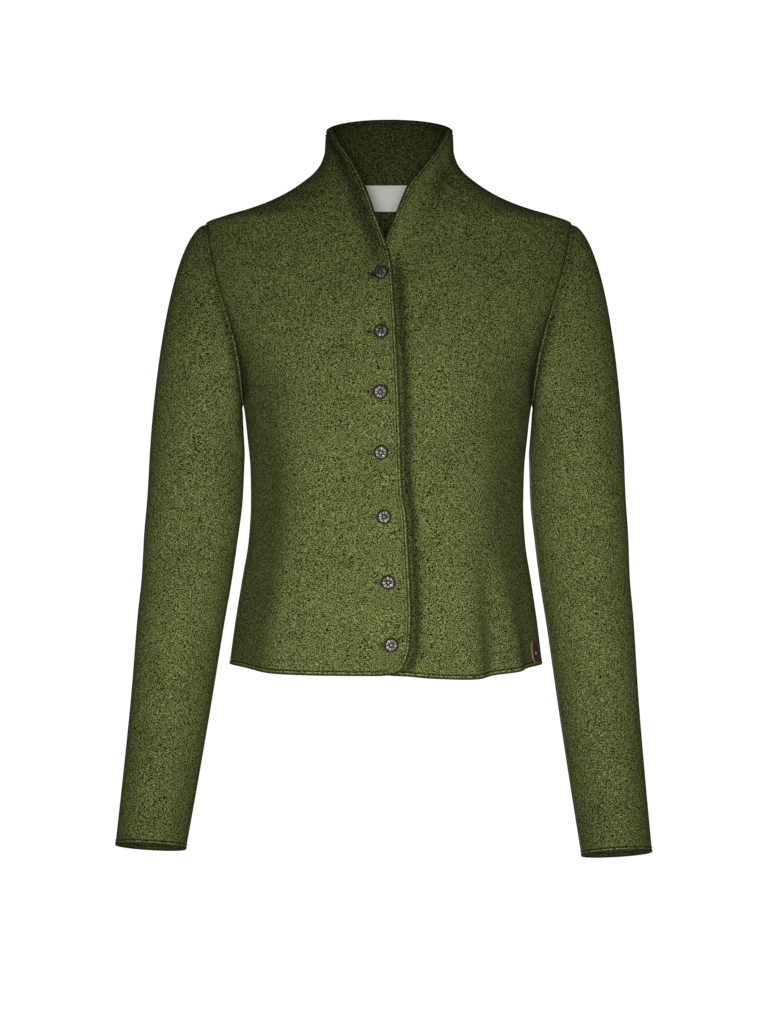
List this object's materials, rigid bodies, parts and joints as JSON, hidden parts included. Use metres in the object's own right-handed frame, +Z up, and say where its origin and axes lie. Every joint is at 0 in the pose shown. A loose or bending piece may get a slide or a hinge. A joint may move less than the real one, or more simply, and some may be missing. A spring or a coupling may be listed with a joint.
{
  "type": "buttoned stand-collar cardigan",
  "caption": "Slim felted-knit cardigan with a tall open stand collar, long sleeves, bound edges and domed metal buttons, filled out as worn and hollow inside.",
  "frame": {"origin": "the middle of the base of the neck, where the wearer's shoulders carry the garment", "axes": "+Z up along the wearer, -Y is the garment's front, +X is the wearer's left"},
  "size_m": [0.5454, 0.2318, 0.7679],
  "materials": {
    "felted_knit": "felted wool jersey, moss green melange, short matt nap",
    "binding": "narrow folded wool binding with a topstitched edge",
    "button_metal": "antique silver-toned cast metal with worn highlights",
    "label_cloth": "woven ribbon label, bare",
    "leather": "smooth brown vegetable-tanned leather"
  },
  "bodies": {
    "root": {"front_right": "felted_knit", "front_left": "felted_knit", "back": "felted_knit", "collar_back": "felted_knit", "sleeve_right": "felted_knit", "sleeve_left": "felted_knit", "binding_front_right": "binding", "binding_front_left": "binding", "binding_hem_back": "binding", "binding_collar_back": "binding", "binding_cuff_right": "binding", "binding_cuff_left": "binding", "button_1": "button_metal", "button_2": "button_metal", "button_3": "button_metal", "button_4": "button_metal", "button_5": "button_metal", "button_6": "button_metal", "button_7": "button_metal", "label_neck": "label_cloth", "tab_side": "leather", "tab_side_rivet": "button_metal"}
  },
  "joints": []
}
